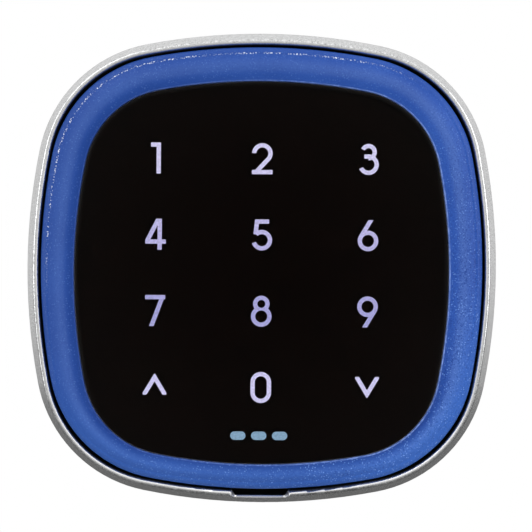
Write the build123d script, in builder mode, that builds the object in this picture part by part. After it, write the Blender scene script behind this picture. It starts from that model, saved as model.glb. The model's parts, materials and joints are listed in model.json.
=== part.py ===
"""Wall-mounted keypad access reader.

Axes: X to the right and Z up as it hangs on the wall, the front faces -Y and the wall is the plane Y = 0.
Heights are distances from the wall, so a feature at height h lies at Y = -h. All sizes in millimetres.
"""

import os
from math import acos, atan2, cos, degrees, radians, sin, sqrt

from build123d import *

os.makedirs("parts", exist_ok=True)

# ---- outline of the housing -------------------------------------------------------------------
body_half = 42.5  # half the width and half the height at the wall
corner_r = 24.4
side_r = 109.5  # the four sides are gently bowed
housing_h = 22.8
rim_half = 40.5  # outside of the rim
mouth_half = 39.5  # inside of the rim
pocket_half = 39.25  # inside of the wall at the floor
floor_t = 2.5
rim_round = 0.42  # outer edge of the rim
rim_round_in = 0.5
boss_r = 3.0  # bosses under the base board
boss_bore_r = 1.3
post_pitch = 61.0  # posts that stop the front module
post_r = 1.6

# ---- pry notch in the lower rim ---------------------------------------------------------------
notch_w = 8.3  # level part of the notch's floor
shoulder_w = 10.7  # across the notch at the rim
shoulder_reach = 0.6  # how far each end of a shoulder runs level
notch_floor_h = 19.4
notch_back_z = -38.8  # the notch runs through the wall as far as this
notch_land = 0.08  # level strip along the notch's outer edge
lip_round = 0.8  # the edge falls away behind that strip on this radius
lip_turn = radians(28)
well_h = 14.0  # bottom of the well behind the lip
well_front_z = -39.3  # where the well's sides leave the mouth of the housing

# ---- wall fixing, gasket and cable entry ------------------------------------------------------
fix_pitch = 60.0
slot_w = 4.4
slot_l = 8.0
gasket_out = 40.9
gasket_in = 38.3
gasket_t = 1.2
cable_z = -15.0
cable_hole_r = 8.0
grommet_lip_r = 9.5
cable_bore_r = 3.25
grommet_h = 6.0

# ---- base board -------------------------------------------------------------------------------
base_w = 48.0
base_l = 30.0
base_z = 9.0
base_h = 4.5  # underside of the board
board_t = 1.6
base_top = base_h + board_t
base_holes = [(-21, -3), (21, -3), (-21, 21), (21, 21)]

# ---- terminal block ---------------------------------------------------------------------------
ways = 6
way_pitch = 5.08
block_h = 9.0
block_z0 = -5.8
block_z1 = 2.2
clamp_z = -2.4
terminal_screw_r = 1.25
way_x = [(i - (ways - 1) / 2) * way_pitch for i in range(ways)]

# ---- parts on the base board ------------------------------------------------------------------
relay_at = (-8.5, 17.5)
relay_w = 14.4
relay_l = 9.3
relay_t = 5.4
buzzer_at = (8.5, 17.0)
buzzer_r = 6.0
buzzer_t = 6.5
capacitor_at = (-19.0, 8.2)
can_r = 3.9
can_top = base_top + 6.5
header_z = 8.0
header_pitch = 2.54
header_cols = 6
tamper_at = (18.6, 13.5)
button_at = (12.5, 7.2)
dip_at = (19.6, 5.6)
dip_travel = 1.2
socket_h = 7.0

# ---- front module -----------------------------------------------------------------------------
skirt_out = 38.7
skirt_in = 36.4
skirt_h0 = 8.0
ring_h0 = 17.4
ring_half = 39.05
ring_corner_r = 21.8
ring_wall = 1.95
ring_band = 7.3  # how far the ring's section reaches inwards before the panel's opening is cut
ring_shoulder_h = 22.35  # top of its upright outer wall
ring_crown_h = 24.4
ring_lip_h = 24.1  # where the crown ends at the panel
touch_h0 = 16.8
touch_h1 = touch_h0 + board_t
touch_half = 36.9
grid_top = 20.8
lip_h0 = 20.2
lip_h1 = 21.2
mask_h0 = 21.4
mask_h1 = 21.6
glass_top = 23.6
seal_h0 = 11.0
seal_h1 = 13.2
seal_half = 39.31
bow_top = 39.15  # crest of the bow springs

# ---- black panel ------------------------------------------------------------------------------
panel_half_x = 33.2
panel_half_z = 33.9
panel_dz = -0.85  # the panel sits a little low in the ring
panel_corner_r = 16.2
panel_side_r = 98.7

# ---- keys and legends -------------------------------------------------------------------------
col_pitch = 18.8
row_pitch = 13.5
keys_z = -0.9
stroke = 0.76
digit_w = 3.65
digit_h = 5.5
key_cols = [-col_pitch, 0, col_pitch]
key_rows = [keys_z + row_pitch * k for k in (1.5, 0.5, -0.5, -1.5)]
key_points = [(x, z) for z in key_rows for x in key_cols]
status_z = -29.7
status_pitch = 3.7
status_x = [-status_pitch - 0.3, -0.3, status_pitch - 0.3]


def front(h):
    """A plane parallel to the wall, at height h, facing the user."""
    return Plane.XZ.offset(h)


def bowed_outline(half_x, half_z, r, bow, dz=0.0):
    """Edges of a square with four bowed sides and four tangent corner arcs."""
    ax = bow - half_x
    az = bow - half_z
    p = (ax * ax - az * az) / (2 * az)
    q = ax / az
    a2 = 1 + q * q
    b2 = 2 * (ax + p * q)
    c2 = ax * ax + p * p - (bow - r) ** 2
    cx = (-b2 + sqrt(b2 * b2 - 4 * a2 * c2)) / (2 * a2)
    cz = p + q * cx
    tx = degrees(atan2(cz, cx + ax))
    tz = degrees(atan2(cx, cz + az))
    CenterArc((-ax, dz), bow, -tx, 2 * tx)
    CenterArc((cx, dz + cz), r, tx, 90 - tz - tx)
    CenterArc((0, dz - az), bow, 90 - tz, 2 * tz)
    CenterArc((-cx, dz + cz), r, 90 + tz, 90 - tz - tx)
    CenterArc((ax, dz), bow, 180 - tx, 2 * tx)
    CenterArc((-cx, dz - cz), r, 180 + tx, 90 - tz - tx)
    CenterArc((0, dz + az), bow, 270 - tz, 2 * tz)
    CenterArc((cx, dz - cz), r, 270 + tz, 90 - tz - tx)


def shell_face(half, mode=Mode.ADD):
    """The housing's outline, offset so that its half width is the one given."""
    d = body_half - half
    with BuildLine() as outline:
        bowed_outline(half, half, corner_r - d, side_r - d)
    make_face(outline.edges(), mode=mode)


def panel_face(inset, mode=Mode.ADD):
    """The black panel's outline, moved inwards by the inset."""
    with BuildLine() as outline:
        bowed_outline(
            panel_half_x - inset,
            panel_half_z - inset,
            panel_corner_r - inset,
            panel_side_r - inset,
            panel_dz,
        )
    make_face(outline.edges(), mode=mode)


def cross_recess(x, z, h, width, depth, span):
    """Cuts a cross for a screwdriver into a head that faces the user."""
    with BuildSketch(front(h - depth)) as cross:
        with Locations((x, z)):
            Rectangle(span, width)
            Rectangle(width, span)
    extrude(cross.sketch, amount=depth + 0.5, mode=Mode.SUBTRACT)


# ---- housing ----------------------------------------------------------------------------------
outer_draft = degrees(atan2(body_half - rim_half, housing_h))
inner_draft = degrees(atan2(mouth_half - pocket_half, housing_h - floor_t))
foot_x = notch_w / 2
shoulder_x = shoulder_w / 2
rim_y = -housing_h
floor_y = -notch_floor_h
with BuildPart() as housing:
    with BuildSketch(front(0)):
        shell_face(body_half)
    extrude(amount=housing_h, taper=outer_draft)
    outer_rim = housing.faces().sort_by(Axis.Y)[0].edges()
    fillet(outer_rim, rim_round)
    with BuildSketch(front(floor_t)):
        shell_face(pocket_half)
    extrude(amount=housing_h - floor_t, taper=-inner_draft, mode=Mode.SUBTRACT)
    inner_rim = housing.faces().sort_by(Axis.Y)[0].inner_wires()[0].edges()
    fillet(inner_rim, rim_round_in)
    # pry notch in the lower rim: each shoulder falls to the floor in a smooth S
    with BuildSketch(Plane.XY.offset(notch_back_z)):
        with BuildLine():
            Polyline(
                (shoulder_x, rim_y),
                (shoulder_x, rim_y - 1),
                (-shoulder_x, rim_y - 1),
                (-shoulder_x, rim_y),
            )
            Bezier(
                (-shoulder_x, rim_y),
                (-shoulder_x + shoulder_reach, rim_y),
                (-foot_x - shoulder_reach, floor_y),
                (-foot_x, floor_y),
            )
            Line((-foot_x, floor_y), (foot_x, floor_y))
            Bezier(
                (foot_x, floor_y),
                (foot_x + shoulder_reach, floor_y),
                (shoulder_x - shoulder_reach, rim_y),
                (shoulder_x, rim_y),
            )
        make_face()
    extrude(amount=-(body_half + notch_back_z + 1.5), mode=Mode.SUBTRACT)
    # the notch's floor ends in a thin rounded lip
    land_z = -body_half + (body_half - rim_half) * notch_floor_h / housing_h + notch_land
    lip_z = land_z + lip_round * sin(lip_turn)
    lip_y = floor_y + lip_round * (1 - cos(lip_turn))
    with BuildSketch(Plane.YZ.offset(-foot_x)):
        with BuildLine():
            ThreePointArc(
                (floor_y, land_z),
                (
                    floor_y + lip_round * (1 - cos(lip_turn / 2)),
                    land_z + lip_round * sin(lip_turn / 2),
                ),
                (lip_y, lip_z),
            )
            Polyline((lip_y, lip_z), (floor_y - 1, lip_z), (floor_y - 1, land_z), (floor_y, land_z))
        make_face()
    extrude(amount=notch_w, mode=Mode.SUBTRACT)
    # behind the lip a well with S-curved sides opens into the housing
    with BuildSketch(front(well_h)):
        with BuildLine():
            Polyline(
                (shoulder_x, well_front_z),
                (shoulder_x, notch_back_z),
                (-shoulder_x, notch_back_z),
                (-shoulder_x, well_front_z),
            )
            Bezier(
                (-shoulder_x, well_front_z),
                (-shoulder_x + shoulder_reach, well_front_z),
                (-foot_x - shoulder_reach, lip_z),
                (-foot_x, lip_z),
            )
            Line((-foot_x, lip_z), (foot_x, lip_z))
            Bezier(
                (foot_x, lip_z),
                (foot_x + shoulder_reach, lip_z),
                (shoulder_x - shoulder_reach, well_front_z),
                (shoulder_x, well_front_z),
            )
        make_face()
    extrude(amount=housing_h - well_h + 1, mode=Mode.SUBTRACT)
    # bosses for the base board, and posts that stop the front module
    with BuildSketch(front(floor_t)):
        with Locations(*base_holes):
            Circle(boss_r)
    extrude(amount=base_h - floor_t)
    with BuildSketch(front(floor_t)):
        with GridLocations(post_pitch, post_pitch, 2, 2):
            Circle(post_r)
    extrude(amount=skirt_h0 - 0.05 - floor_t)
    with BuildSketch(front(0.6)):
        with Locations(*base_holes):
            Circle(boss_bore_r)
    extrude(amount=base_h, mode=Mode.SUBTRACT)
    # slotted fixing holes: one pair level, one pair upright
    with BuildSketch(front(-1)):
        with Locations((-fix_pitch / 2, 0), (fix_pitch / 2, 0)):
            SlotOverall(slot_l, slot_w)
        with Locations((0, -fix_pitch / 2), (0, fix_pitch / 2)):
            SlotOverall(slot_l, slot_w, rotation=90)
        with Locations((0, cable_z)):
            Circle(cable_hole_r)
    extrude(amount=floor_t + 2, mode=Mode.SUBTRACT)
    with BuildSketch(front(0)):
        with Locations((0, cable_z)):
            Circle(grommet_lip_r + 0.1)
    extrude(amount=1.0, mode=Mode.SUBTRACT)
    # groove for the wall gasket
    with BuildSketch(front(0)):
        shell_face(gasket_out)
        shell_face(gasket_in, Mode.SUBTRACT)
    extrude(amount=gasket_t + 0.05, mode=Mode.SUBTRACT)
housing.part.label = "housing"
export_step(housing.part, "parts/housing.step")

# ---- foam gasket against the wall -------------------------------------------------------------
with BuildPart() as wall_gasket:
    with BuildSketch(front(0)):
        shell_face(gasket_out - 0.1)
        shell_face(gasket_in + 0.1, Mode.SUBTRACT)
    extrude(amount=gasket_t)
wall_gasket.part.label = "wall_gasket"
export_step(wall_gasket.part, "parts/wall_gasket.step")

# ---- rubber grommet for the cable -------------------------------------------------------------
with BuildPart() as cable_grommet:
    with BuildSketch(Plane.YZ):
        with BuildLine():
            Polyline(
                (0, cable_z + cable_bore_r),
                (0, cable_z + grommet_lip_r),
                (-0.95, cable_z + grommet_lip_r),
                (-0.95, cable_z + cable_hole_r - 0.05),
                (-2.55, cable_z + cable_hole_r - 0.05),
                (-2.55, cable_z + grommet_lip_r),
                (-3.3, cable_z + grommet_lip_r),
                (-3.8, cable_z + 7.2),
                (-grommet_h, cable_z + 5.0),
                (-grommet_h, cable_z + cable_bore_r),
                close=True,
            )
        make_face()
    revolve(axis=Axis((0, 0, cable_z), (0, 1, 0)))
cable_grommet.part.label = "cable_grommet"
export_step(cable_grommet.part, "parts/cable_grommet.step")

# ---- base board -------------------------------------------------------------------------------
with BuildPart() as base_board:
    with BuildSketch(front(base_h)):
        with Locations((0, base_z)):
            RectangleRounded(base_w, base_l, 1.5)
        with Locations(*base_holes):
            Circle(1.45, mode=Mode.SUBTRACT)
        with Locations(*[(x, 1.3) for x in way_x]):
            Rectangle(1.5, 0.9, mode=Mode.SUBTRACT)
    extrude(amount=board_t)
base_board.part.label = "base_board"
export_step(base_board.part, "parts/base_board.step")

board_screw_tip_h = 1.2
board_screw_head_t = 1.6
with BuildPart() as base_board_screws:
    with BuildSketch(front(board_screw_tip_h)):
        with Locations(*base_holes):
            Circle(boss_bore_r - 0.06)
    extrude(amount=base_top - board_screw_tip_h)
    with BuildSketch(front(base_top)):
        with Locations(*base_holes):
            Circle(2.5)
    extrude(amount=board_screw_head_t)
    head_tops = base_board_screws.faces().sort_by(Axis.Y)[0:4]
    fillet(head_tops.edges(), 0.6)
    for hx, hz in base_holes:
        cross_recess(hx, hz, base_top + board_screw_head_t, 0.7, 1.0, 2.6)
base_board_screws.part.label = "base_board_screws"
export_step(base_board_screws.part, "parts/base_board_screws.step")

# ---- terminal block: six rising clamps --------------------------------------------------------
block_z = (block_z0 + block_z1) / 2
block_l = block_z1 - block_z0
bar_h = 9.4  # underside of the fixed contact bars
with BuildPart() as terminal_block_body:
    with BuildSketch(front(base_top)):
        with Locations((0, block_z)):
            Rectangle(ways * way_pitch, block_l)
    extrude(amount=block_h)
    long_edges = terminal_block_body.edges().filter_by(Axis.X).group_by(Axis.Y)[0]
    chamfer(long_edges, 0.6)
    # clamp chambers
    with BuildSketch(front(base_top + 0.7)):
        with Locations(*[(x, -2.05) for x in way_x]):
            Rectangle(4.1, 5.9)
    extrude(amount=5.85, mode=Mode.SUBTRACT)
    # screw shafts
    with BuildSketch(front(base_top + 6.0)):
        with Locations(*[(x, clamp_z) for x in way_x]):
            Circle(1.93)
    extrude(amount=4.0, mode=Mode.SUBTRACT)
    # slots for the contact legs
    with BuildSketch(front(base_top - 0.5)):
        with Locations(*[(x, 1.25) for x in way_x]):
            Rectangle(1.5, 0.9)
    extrude(amount=4.5, mode=Mode.SUBTRACT)
    # wire entries in the lower face
    with BuildSketch(Plane.XY.offset(block_z0 - 0.5)):
        with Locations(*[(x, -base_top - 2.3) for x in way_x]):
            Rectangle(3.3, 3.0)
    extrude(amount=2.0, mode=Mode.SUBTRACT)
    # tall thin ribs between the wire entries
    with BuildSketch(Plane.XY.offset(block_z0)):
        with Locations(*[(x + way_pitch / 2, -base_top - 2.5) for x in way_x[:-1]]):
            Rectangle(0.5, 3.6)
    extrude(amount=0.4, mode=Mode.SUBTRACT)
terminal_block_body.part.label = "terminal_block_body"
export_step(terminal_block_body.part, "parts/terminal_block_body.step")

with BuildPart() as terminal_contacts:
    with BuildSketch(front(bar_h)):
        with Locations(*[(x, -2.05) for x in way_x]):
            Rectangle(2.6, 5.7)
        with Locations(*[(x, 1.15) for x in way_x]):
            Rectangle(1.2, 0.9)
    extrude(amount=0.6)
    with BuildSketch(front(4.0)):
        with Locations(*[(x, 1.3) for x in way_x]):
            Rectangle(1.2, 0.6)
    extrude(amount=bar_h - 4.0)
terminal_contacts.part.label = "terminal_contacts"
export_step(terminal_contacts.part, "parts/terminal_contacts.step")

screw_tip_h = bar_h + 0.65
screw_head_h = 12.75
screw_top_h = 14.6
for n, sx in enumerate(way_x, 1):
    with BuildPart() as terminal_screw:
        with BuildSketch(front(screw_tip_h)):
            with Locations((sx, clamp_z)):
                Circle(terminal_screw_r)
        extrude(amount=screw_head_h - screw_tip_h)
        with BuildSketch(front(screw_head_h)):
            with Locations((sx, clamp_z)):
                Circle(1.85)
        extrude(amount=screw_top_h - screw_head_h)
        fillet(terminal_screw.faces().sort_by(Axis.Y)[0].edges(), 0.3)
        with BuildSketch(front(screw_top_h - 0.9)):
            with Locations((sx, clamp_z)):
                Rectangle(5, 0.6, rotation=12 * n)
        extrude(amount=2, mode=Mode.SUBTRACT)
    terminal_screw.part.label = f"terminal_screw_{n}"
    export_step(terminal_screw.part, f"parts/terminal_screw_{n}.step")

clamp_h0 = 8.45
clamp_h1 = 12.55
for n, sx in enumerate(way_x, 1):
    with BuildPart() as terminal_clamp:
        with BuildSketch(front(clamp_h0)):
            with Locations((sx, clamp_z)):
                Rectangle(3.8, 3.7)
        extrude(amount=clamp_h1 - clamp_h0)
        with BuildSketch(front(clamp_h0 + 0.8)):
            with Locations((sx, clamp_z)):
                Rectangle(2.8, 4.5)
        extrude(amount=clamp_h1 - clamp_h0 - 1.7, mode=Mode.SUBTRACT)
        with BuildSketch(front(clamp_h1 - 1.5)):
            with Locations((sx, clamp_z)):
                Circle(terminal_screw_r + 0.06)
        extrude(amount=3, mode=Mode.SUBTRACT)
    terminal_clamp.part.label = f"terminal_clamp_{n}"
    export_step(terminal_clamp.part, f"parts/terminal_clamp_{n}.step")

# ---- lock relay -------------------------------------------------------------------------------
with BuildPart() as relay:
    with BuildSketch(front(base_top + 0.2)):
        with Locations(relay_at):
            RectangleRounded(relay_w, relay_l, 0.4)
    extrude(amount=relay_t)
    fillet(relay.faces().sort_by(Axis.Y)[0].edges(), 0.3)
    with BuildSketch(front(base_top + relay_t - 0.05)):
        with Locations((relay_at[0] - 5.9, relay_at[1])):
            Rectangle(0.6, 7.6)
    extrude(amount=1, mode=Mode.SUBTRACT)
    with BuildSketch(front(base_top)):
        with Locations(relay_at):
            with GridLocations(3.2, 10.4, 4, 2):
                Rectangle(0.6, 1.2)
    extrude(amount=0.3)
    with BuildSketch(front(base_top + 0.25)):
        with Locations(relay_at):
            with GridLocations(3.2, 9.8, 4, 2):
                Rectangle(0.6, 0.6)
    extrude(amount=1.6)
relay.part.label = "relay"
export_step(relay.part, "parts/relay.step")

# ---- buzzer -----------------------------------------------------------------------------------
with BuildPart() as buzzer:
    with BuildSketch(front(base_top)):
        with Locations(buzzer_at):
            Circle(buzzer_r)
    extrude(amount=buzzer_t)
    fillet(buzzer.faces().sort_by(Axis.Y)[0].edges(), 0.5)
    with BuildSketch(front(base_top + buzzer_t - 1.2)):
        with Locations(buzzer_at):
            Circle(1.1)
    extrude(amount=2, mode=Mode.SUBTRACT)
    with BuildSketch(front(base_top + buzzer_t - 0.3)):
        with Locations(buzzer_at):
            Circle(4.6)
            Circle(4.1, mode=Mode.SUBTRACT)
    extrude(amount=1, mode=Mode.SUBTRACT)
buzzer.part.label = "buzzer"
export_step(buzzer.part, "parts/buzzer.step")

# ---- filter capacitor on its moulded foot -----------------------------------------------------
with BuildPart() as filter_capacitor:
    with BuildSketch(front(base_top)) as foot:
        with Locations(capacitor_at):
            Rectangle(8.2, 8.2)
        chamfer(foot.vertices().group_by(Axis.X)[-1], 1.4)
    extrude(amount=0.9)
    with BuildSketch(front(base_top + 0.9)):
        with Locations(capacitor_at):
            Circle(can_r)
    extrude(amount=can_top - base_top - 0.9)
    fillet(filter_capacitor.faces().sort_by(Axis.Y)[0].edges(), 0.35)
    with BuildSketch(front(base_top + 1.5)):
        with Locations(capacitor_at):
            Circle(can_r + 0.3)
            Circle(can_r - 0.25, mode=Mode.SUBTRACT)
    extrude(amount=0.5, mode=Mode.SUBTRACT)
    with BuildSketch(front(can_top - 0.15)):
        with Locations(capacitor_at):
            Rectangle(0.25, 5)
            Rectangle(5, 0.25)
    extrude(amount=1, mode=Mode.SUBTRACT)
filter_capacitor.part.label = "filter_capacitor"
export_step(filter_capacitor.part, "parts/filter_capacitor.step")

# ---- plug-in link between the two boards ------------------------------------------------------
with BuildPart() as base_header_socket:
    with BuildSketch(front(base_top)):
        with Locations((0, header_z)):
            Rectangle(header_cols * header_pitch + 0.2, 2 * header_pitch)
    extrude(amount=socket_h)
    with BuildSketch(front(base_top + 1.5)):
        with Locations((0, header_z)):
            with GridLocations(header_pitch, header_pitch, header_cols, 2):
                Rectangle(0.94, 0.94)
    extrude(amount=socket_h, mode=Mode.SUBTRACT)
base_header_socket.part.label = "base_header_socket"
export_step(base_header_socket.part, "parts/base_header_socket.step")

with BuildPart() as header_strip:
    with BuildSketch(front(touch_h0 - 2.5)):
        with Locations((0, header_z)):
            Rectangle(header_cols * header_pitch, 2 * header_pitch)
            with GridLocations(header_pitch, header_pitch, header_cols, 2):
                Rectangle(0.68, 0.68, mode=Mode.SUBTRACT)
    extrude(amount=2.5)
header_strip.part.label = "header_strip"
export_step(header_strip.part, "parts/header_strip.step")

pin_w = 0.64
pin_tip_h = 8.3
with BuildPart() as header_pins:
    with BuildSketch(front(pin_tip_h)):
        with Locations((0, header_z)):
            with GridLocations(header_pitch, header_pitch, header_cols, 2):
                Rectangle(pin_w, pin_w)
    extrude(amount=touch_h1 - 0.15 - pin_tip_h)
    tips = header_pins.faces().sort_by(Axis.Y)[-12:]
    chamfer(tips.edges(), 0.15)
header_pins.part.label = "header_pins"
export_step(header_pins.part, "parts/header_pins.step")

# ---- tamper switch ----------------------------------------------------------------------------
tamper_h = 3.6
with BuildPart() as tamper_switch_body:
    with BuildSketch(front(base_top)):
        with Locations(tamper_at):
            RectangleRounded(6.0, 6.0, 0.4)
    extrude(amount=tamper_h)
    with BuildSketch(front(base_top + tamper_h)):
        with Locations(tamper_at):
            Circle(2.2)
    extrude(amount=0.7)
    with BuildSketch(front(base_top + 0.4)):
        with Locations(tamper_at):
            Circle(1.56)
    extrude(amount=6, mode=Mode.SUBTRACT)
    with BuildSketch(front(base_top)):
        with Locations(tamper_at):
            with GridLocations(6.8, 4.4, 2, 2):
                Rectangle(0.9, 0.7)
    extrude(amount=0.4)
tamper_switch_body.part.label = "tamper_switch_body"
export_step(tamper_switch_body.part, "parts/tamper_switch_body.step")

with BuildPart() as tamper_plunger:
    with BuildSketch(front(base_top + 0.6)):
        with Locations(tamper_at):
            Circle(1.5)
    extrude(amount=6.0)
    with BuildSketch(front(base_top + 4.6)):
        with Locations(tamper_at):
            Circle(2.4)
    extrude(amount=touch_h0 - 0.05 - base_top - 4.6)
    fillet(tamper_plunger.faces().sort_by(Axis.Y)[0].edges(), 0.9)
tamper_plunger.part.label = "tamper_plunger"
export_step(tamper_plunger.part, "parts/tamper_plunger.step")

# ---- program button ---------------------------------------------------------------------------
with BuildPart() as program_button_body:
    with BuildSketch(front(base_top)):
        with Locations(button_at):
            RectangleRounded(4.5, 4.5, 0.3)
    extrude(amount=2.4)
    with BuildSketch(front(base_top + 1.2)):
        with Locations(button_at):
            Circle(1.25)
    extrude(amount=3, mode=Mode.SUBTRACT)
    with BuildSketch(front(base_top)):
        with Locations(button_at):
            with GridLocations(5.2, 3.0, 2, 2):
                Rectangle(0.8, 0.6)
    extrude(amount=0.35)
program_button_body.part.label = "program_button_body"
export_step(program_button_body.part, "parts/program_button_body.step")

with BuildPart() as program_button_cap:
    with BuildSketch(front(base_top + 1.55)):
        with Locations(button_at):
            Circle(1.2)
    extrude(amount=1.9)
    fillet(program_button_cap.faces().sort_by(Axis.Y)[0].edges(), 0.25)
program_button_cap.part.label = "program_button_cap"
export_step(program_button_cap.part, "parts/program_button_cap.step")

# ---- two-way slide switch ---------------------------------------------------------------------
dip_h = 3.0
dip_dx = [-1.27, 1.27]
slider_z = dip_at[1] - dip_travel / 2
with BuildPart() as dip_switch_body:
    with BuildSketch(front(base_top)):
        with Locations(dip_at):
            Rectangle(6.0, 5.6)
    extrude(amount=dip_h)
    chamfer(dip_switch_body.faces().sort_by(Axis.Y)[0].edges(), 0.2)
    with BuildSketch(front(base_top + dip_h - 1.3)):
        with Locations(*[(dip_at[0] + d, dip_at[1]) for d in dip_dx]):
            Rectangle(1.3, 3.0)
    extrude(amount=2, mode=Mode.SUBTRACT)
dip_switch_body.part.label = "dip_switch_body"
export_step(dip_switch_body.part, "parts/dip_switch_body.step")

for n, d in enumerate(dip_dx, 1):
    with BuildPart() as dip_slider:
        with BuildSketch(front(base_top + dip_h - 1.2)):
            with Locations((dip_at[0] + d, slider_z)):
                Rectangle(1.0, 1.5)
        extrude(amount=1.1)
        with BuildSketch(front(base_top + dip_h - 0.1)):
            with Locations((dip_at[0] + d, slider_z)):
                Rectangle(0.9, 0.9)
        extrude(amount=0.7)
    dip_slider.part.label = f"dip_slider_{n}"
    export_step(dip_slider.part, f"parts/dip_slider_{n}.step")

# ---- small parts on the base board ------------------------------------------------------------
chip_at = (-11.3, 8.0)
with BuildPart() as base_smd_parts:
    with BuildSketch(front(base_top + 0.15)):
        with Locations(chip_at):
            Rectangle(3.9, 4.9)
    extrude(amount=1.4)
    with BuildSketch(front(base_top)):
        with Locations(chip_at):
            with GridLocations(4.8, 1.27, 2, 4):
                Rectangle(1.1, 0.42)
    extrude(amount=0.5)
    with BuildSketch(front(base_top)):
        with Locations(*[(-22.4 + 1.6 * i, 15.0) for i in range(4)]):
            Rectangle(0.8, 1.6)
        with Locations((0.6, 12.2), (0.6, 14.2), (0.6, 20.8), (17.4, -1.6), (17.4, 0.6)):
            Rectangle(1.6, 0.8)
    extrude(amount=0.55)
    with BuildSketch(front(base_top)):
        with Locations((-18.4, -0.9 + 2.6), (8.9, 4.2)):
            Rectangle(2.6, 1.5)
    extrude(amount=1.0)
base_smd_parts.part.label = "base_smd_parts"
export_step(base_smd_parts.part, "parts/base_smd_parts.step")

# ---- carrier frame of the front module --------------------------------------------------------
spring_span = 10.0
pocket_depth = 1.0
groove_half = 37.5  # bottom of the seal's groove
side_turns = [0, 90, 180, 270]
with BuildPart() as front_carrier:
    with BuildSketch(front(skirt_h0)):
        shell_face(skirt_out)
        shell_face(skirt_in, Mode.SUBTRACT)
    extrude(amount=touch_h0 - skirt_h0)
    with BuildSketch(front(touch_h0)):
        shell_face(skirt_out)
        shell_face(touch_half + 0.2, Mode.SUBTRACT)
    extrude(amount=ring_h0 - touch_h0)
    with BuildSketch(front(touch_h0 - 1.6)):
        shell_face(skirt_in + 0.3)
        shell_face(34.6, Mode.SUBTRACT)
    extrude(amount=1.6)
    with BuildSketch(front(seal_h0)):
        shell_face(skirt_out + 1)
        shell_face(groove_half, Mode.SUBTRACT)
    extrude(amount=seal_h1 - seal_h0, mode=Mode.SUBTRACT)
    # pockets for the bow springs, open towards the wall side
    with BuildSketch(front(skirt_h0 - 1)):
        for turn in side_turns:
            with Locations(Location((0, 0, 0), (0, 0, turn))):
                with Locations((0, skirt_out)):
                    Rectangle(spring_span + 2, 2 * pocket_depth)
    extrude(amount=3.4, mode=Mode.SUBTRACT)
front_carrier.part.label = "front_carrier"
export_step(front_carrier.part, "parts/front_carrier.step")

with BuildPart() as module_seal:
    with BuildSketch(front(seal_h0 + 0.1)):
        shell_face(seal_half)
        shell_face(groove_half + 0.05, Mode.SUBTRACT)
    extrude(amount=seal_h1 - seal_h0 - 0.2)
    fillet(module_seal.faces().sort_by(Axis.Y)[0].outer_wire().edges(), 0.6)
    fillet(module_seal.faces().sort_by(Axis.Y)[-1].outer_wire().edges(), 0.6)
module_seal.part.label = "module_seal"
export_step(module_seal.part, "parts/module_seal.step")

bow_foot = skirt_out - pocket_depth + 0.05
bow_t = 0.3
bow_x = spring_span / 2
with BuildPart() as retaining_springs:
    with BuildSketch(front(skirt_h0 + 0.4)):
        with BuildLine():
            ThreePointArc((-bow_x, bow_foot + bow_t), (0, bow_top), (bow_x, bow_foot + bow_t))
            Line((bow_x, bow_foot + bow_t), (bow_x, bow_foot))
            ThreePointArc((bow_x, bow_foot), (0, bow_top - bow_t), (-bow_x, bow_foot))
            Line((-bow_x, bow_foot), (-bow_x, bow_foot + bow_t))
        make_face()
    extrude(amount=1.8)
    one_spring = retaining_springs.part
    for turn in side_turns[1:]:
        add(one_spring.rotate(Axis.Y, turn))
retaining_springs.part.label = "retaining_springs"
export_step(retaining_springs.part, "parts/retaining_springs.step")

# ---- blue light ring: crowned, hollow behind --------------------------------------------------
ring_d = body_half - ring_half
brow_h = ring_crown_h - 0.58  # where the rounded shoulder meets the crown
with BuildPart() as light_ring:
    with BuildLine(Plane.XZ) as ring_path:
        bowed_outline(ring_half, ring_half, ring_corner_r, side_r - ring_d)
    path = ring_path.wires()[0]
    with BuildSketch(Plane(origin=path @ 0, x_dir=(0, -1, 0), z_dir=path % 0)):
        with BuildLine():
            Polyline(
                (ring_lip_h, -ring_band),
                (ring_h0, -ring_band),
                (ring_h0, 0),
                (ring_shoulder_h, 0),
            )
            ThreePointArc((ring_shoulder_h, 0), (ring_shoulder_h + 1, -0.34), (brow_h, -1.15))
            ThreePointArc((brow_h, -1.15), (ring_crown_h, -3.5), (ring_lip_h, -ring_band))
        make_face()
    sweep(path=path)
    with BuildSketch(front(ring_h0 - 1)):
        panel_face(0)
    extrude(amount=9, mode=Mode.SUBTRACT)
    # ledge that carries the glass
    with BuildSketch(front(lip_h0)):
        panel_face(-0.6)
        panel_face(1.5, Mode.SUBTRACT)
    extrude(amount=lip_h1 - lip_h0)
    # hollow for the lamps, and room for the board below it
    with BuildSketch(front(ring_h0 - 1)):
        shell_face(ring_half - ring_wall)
    extrude(amount=touch_h1 + 1 - ring_h0, mode=Mode.SUBTRACT)
    with BuildSketch(front(touch_h1 - 0.1)):
        shell_face(ring_half - ring_wall)
        panel_face(-1.5, Mode.SUBTRACT)
    extrude(amount=3.6, mode=Mode.SUBTRACT)
light_ring.part.label = "light_ring"
export_step(light_ring.part, "parts/light_ring.step")

# ---- glass and what lies behind it ------------------------------------------------------------
with BuildPart() as touch_glass:
    with BuildSketch(front(mask_h1)):
        panel_face(0.1)
    extrude(amount=glass_top - mask_h1)
    fillet(touch_glass.faces().sort_by(Axis.Y)[0].edges(), 0.3)
touch_glass.part.label = "touch_glass"
export_step(touch_glass.part, "parts/touch_glass.step")

with BuildPart() as glass_adhesive:
    with BuildSketch(front(lip_h1)):
        panel_face(0.15)
        panel_face(1.4, Mode.SUBTRACT)
    extrude(amount=mask_h0 - lip_h1)
glass_adhesive.part.label = "glass_adhesive"
export_step(glass_adhesive.part, "parts/glass_adhesive.step")

# Legends are drawn as single strokes with square ends, about their own centres.
top = digit_h / 2
mid_top = top - stroke / 2  # centre line of the highest stroke
side = digit_w / 2 - stroke / 2  # centre line of the outermost stroke
small_r = 1.08
bowl_z = -mid_top + side


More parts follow.
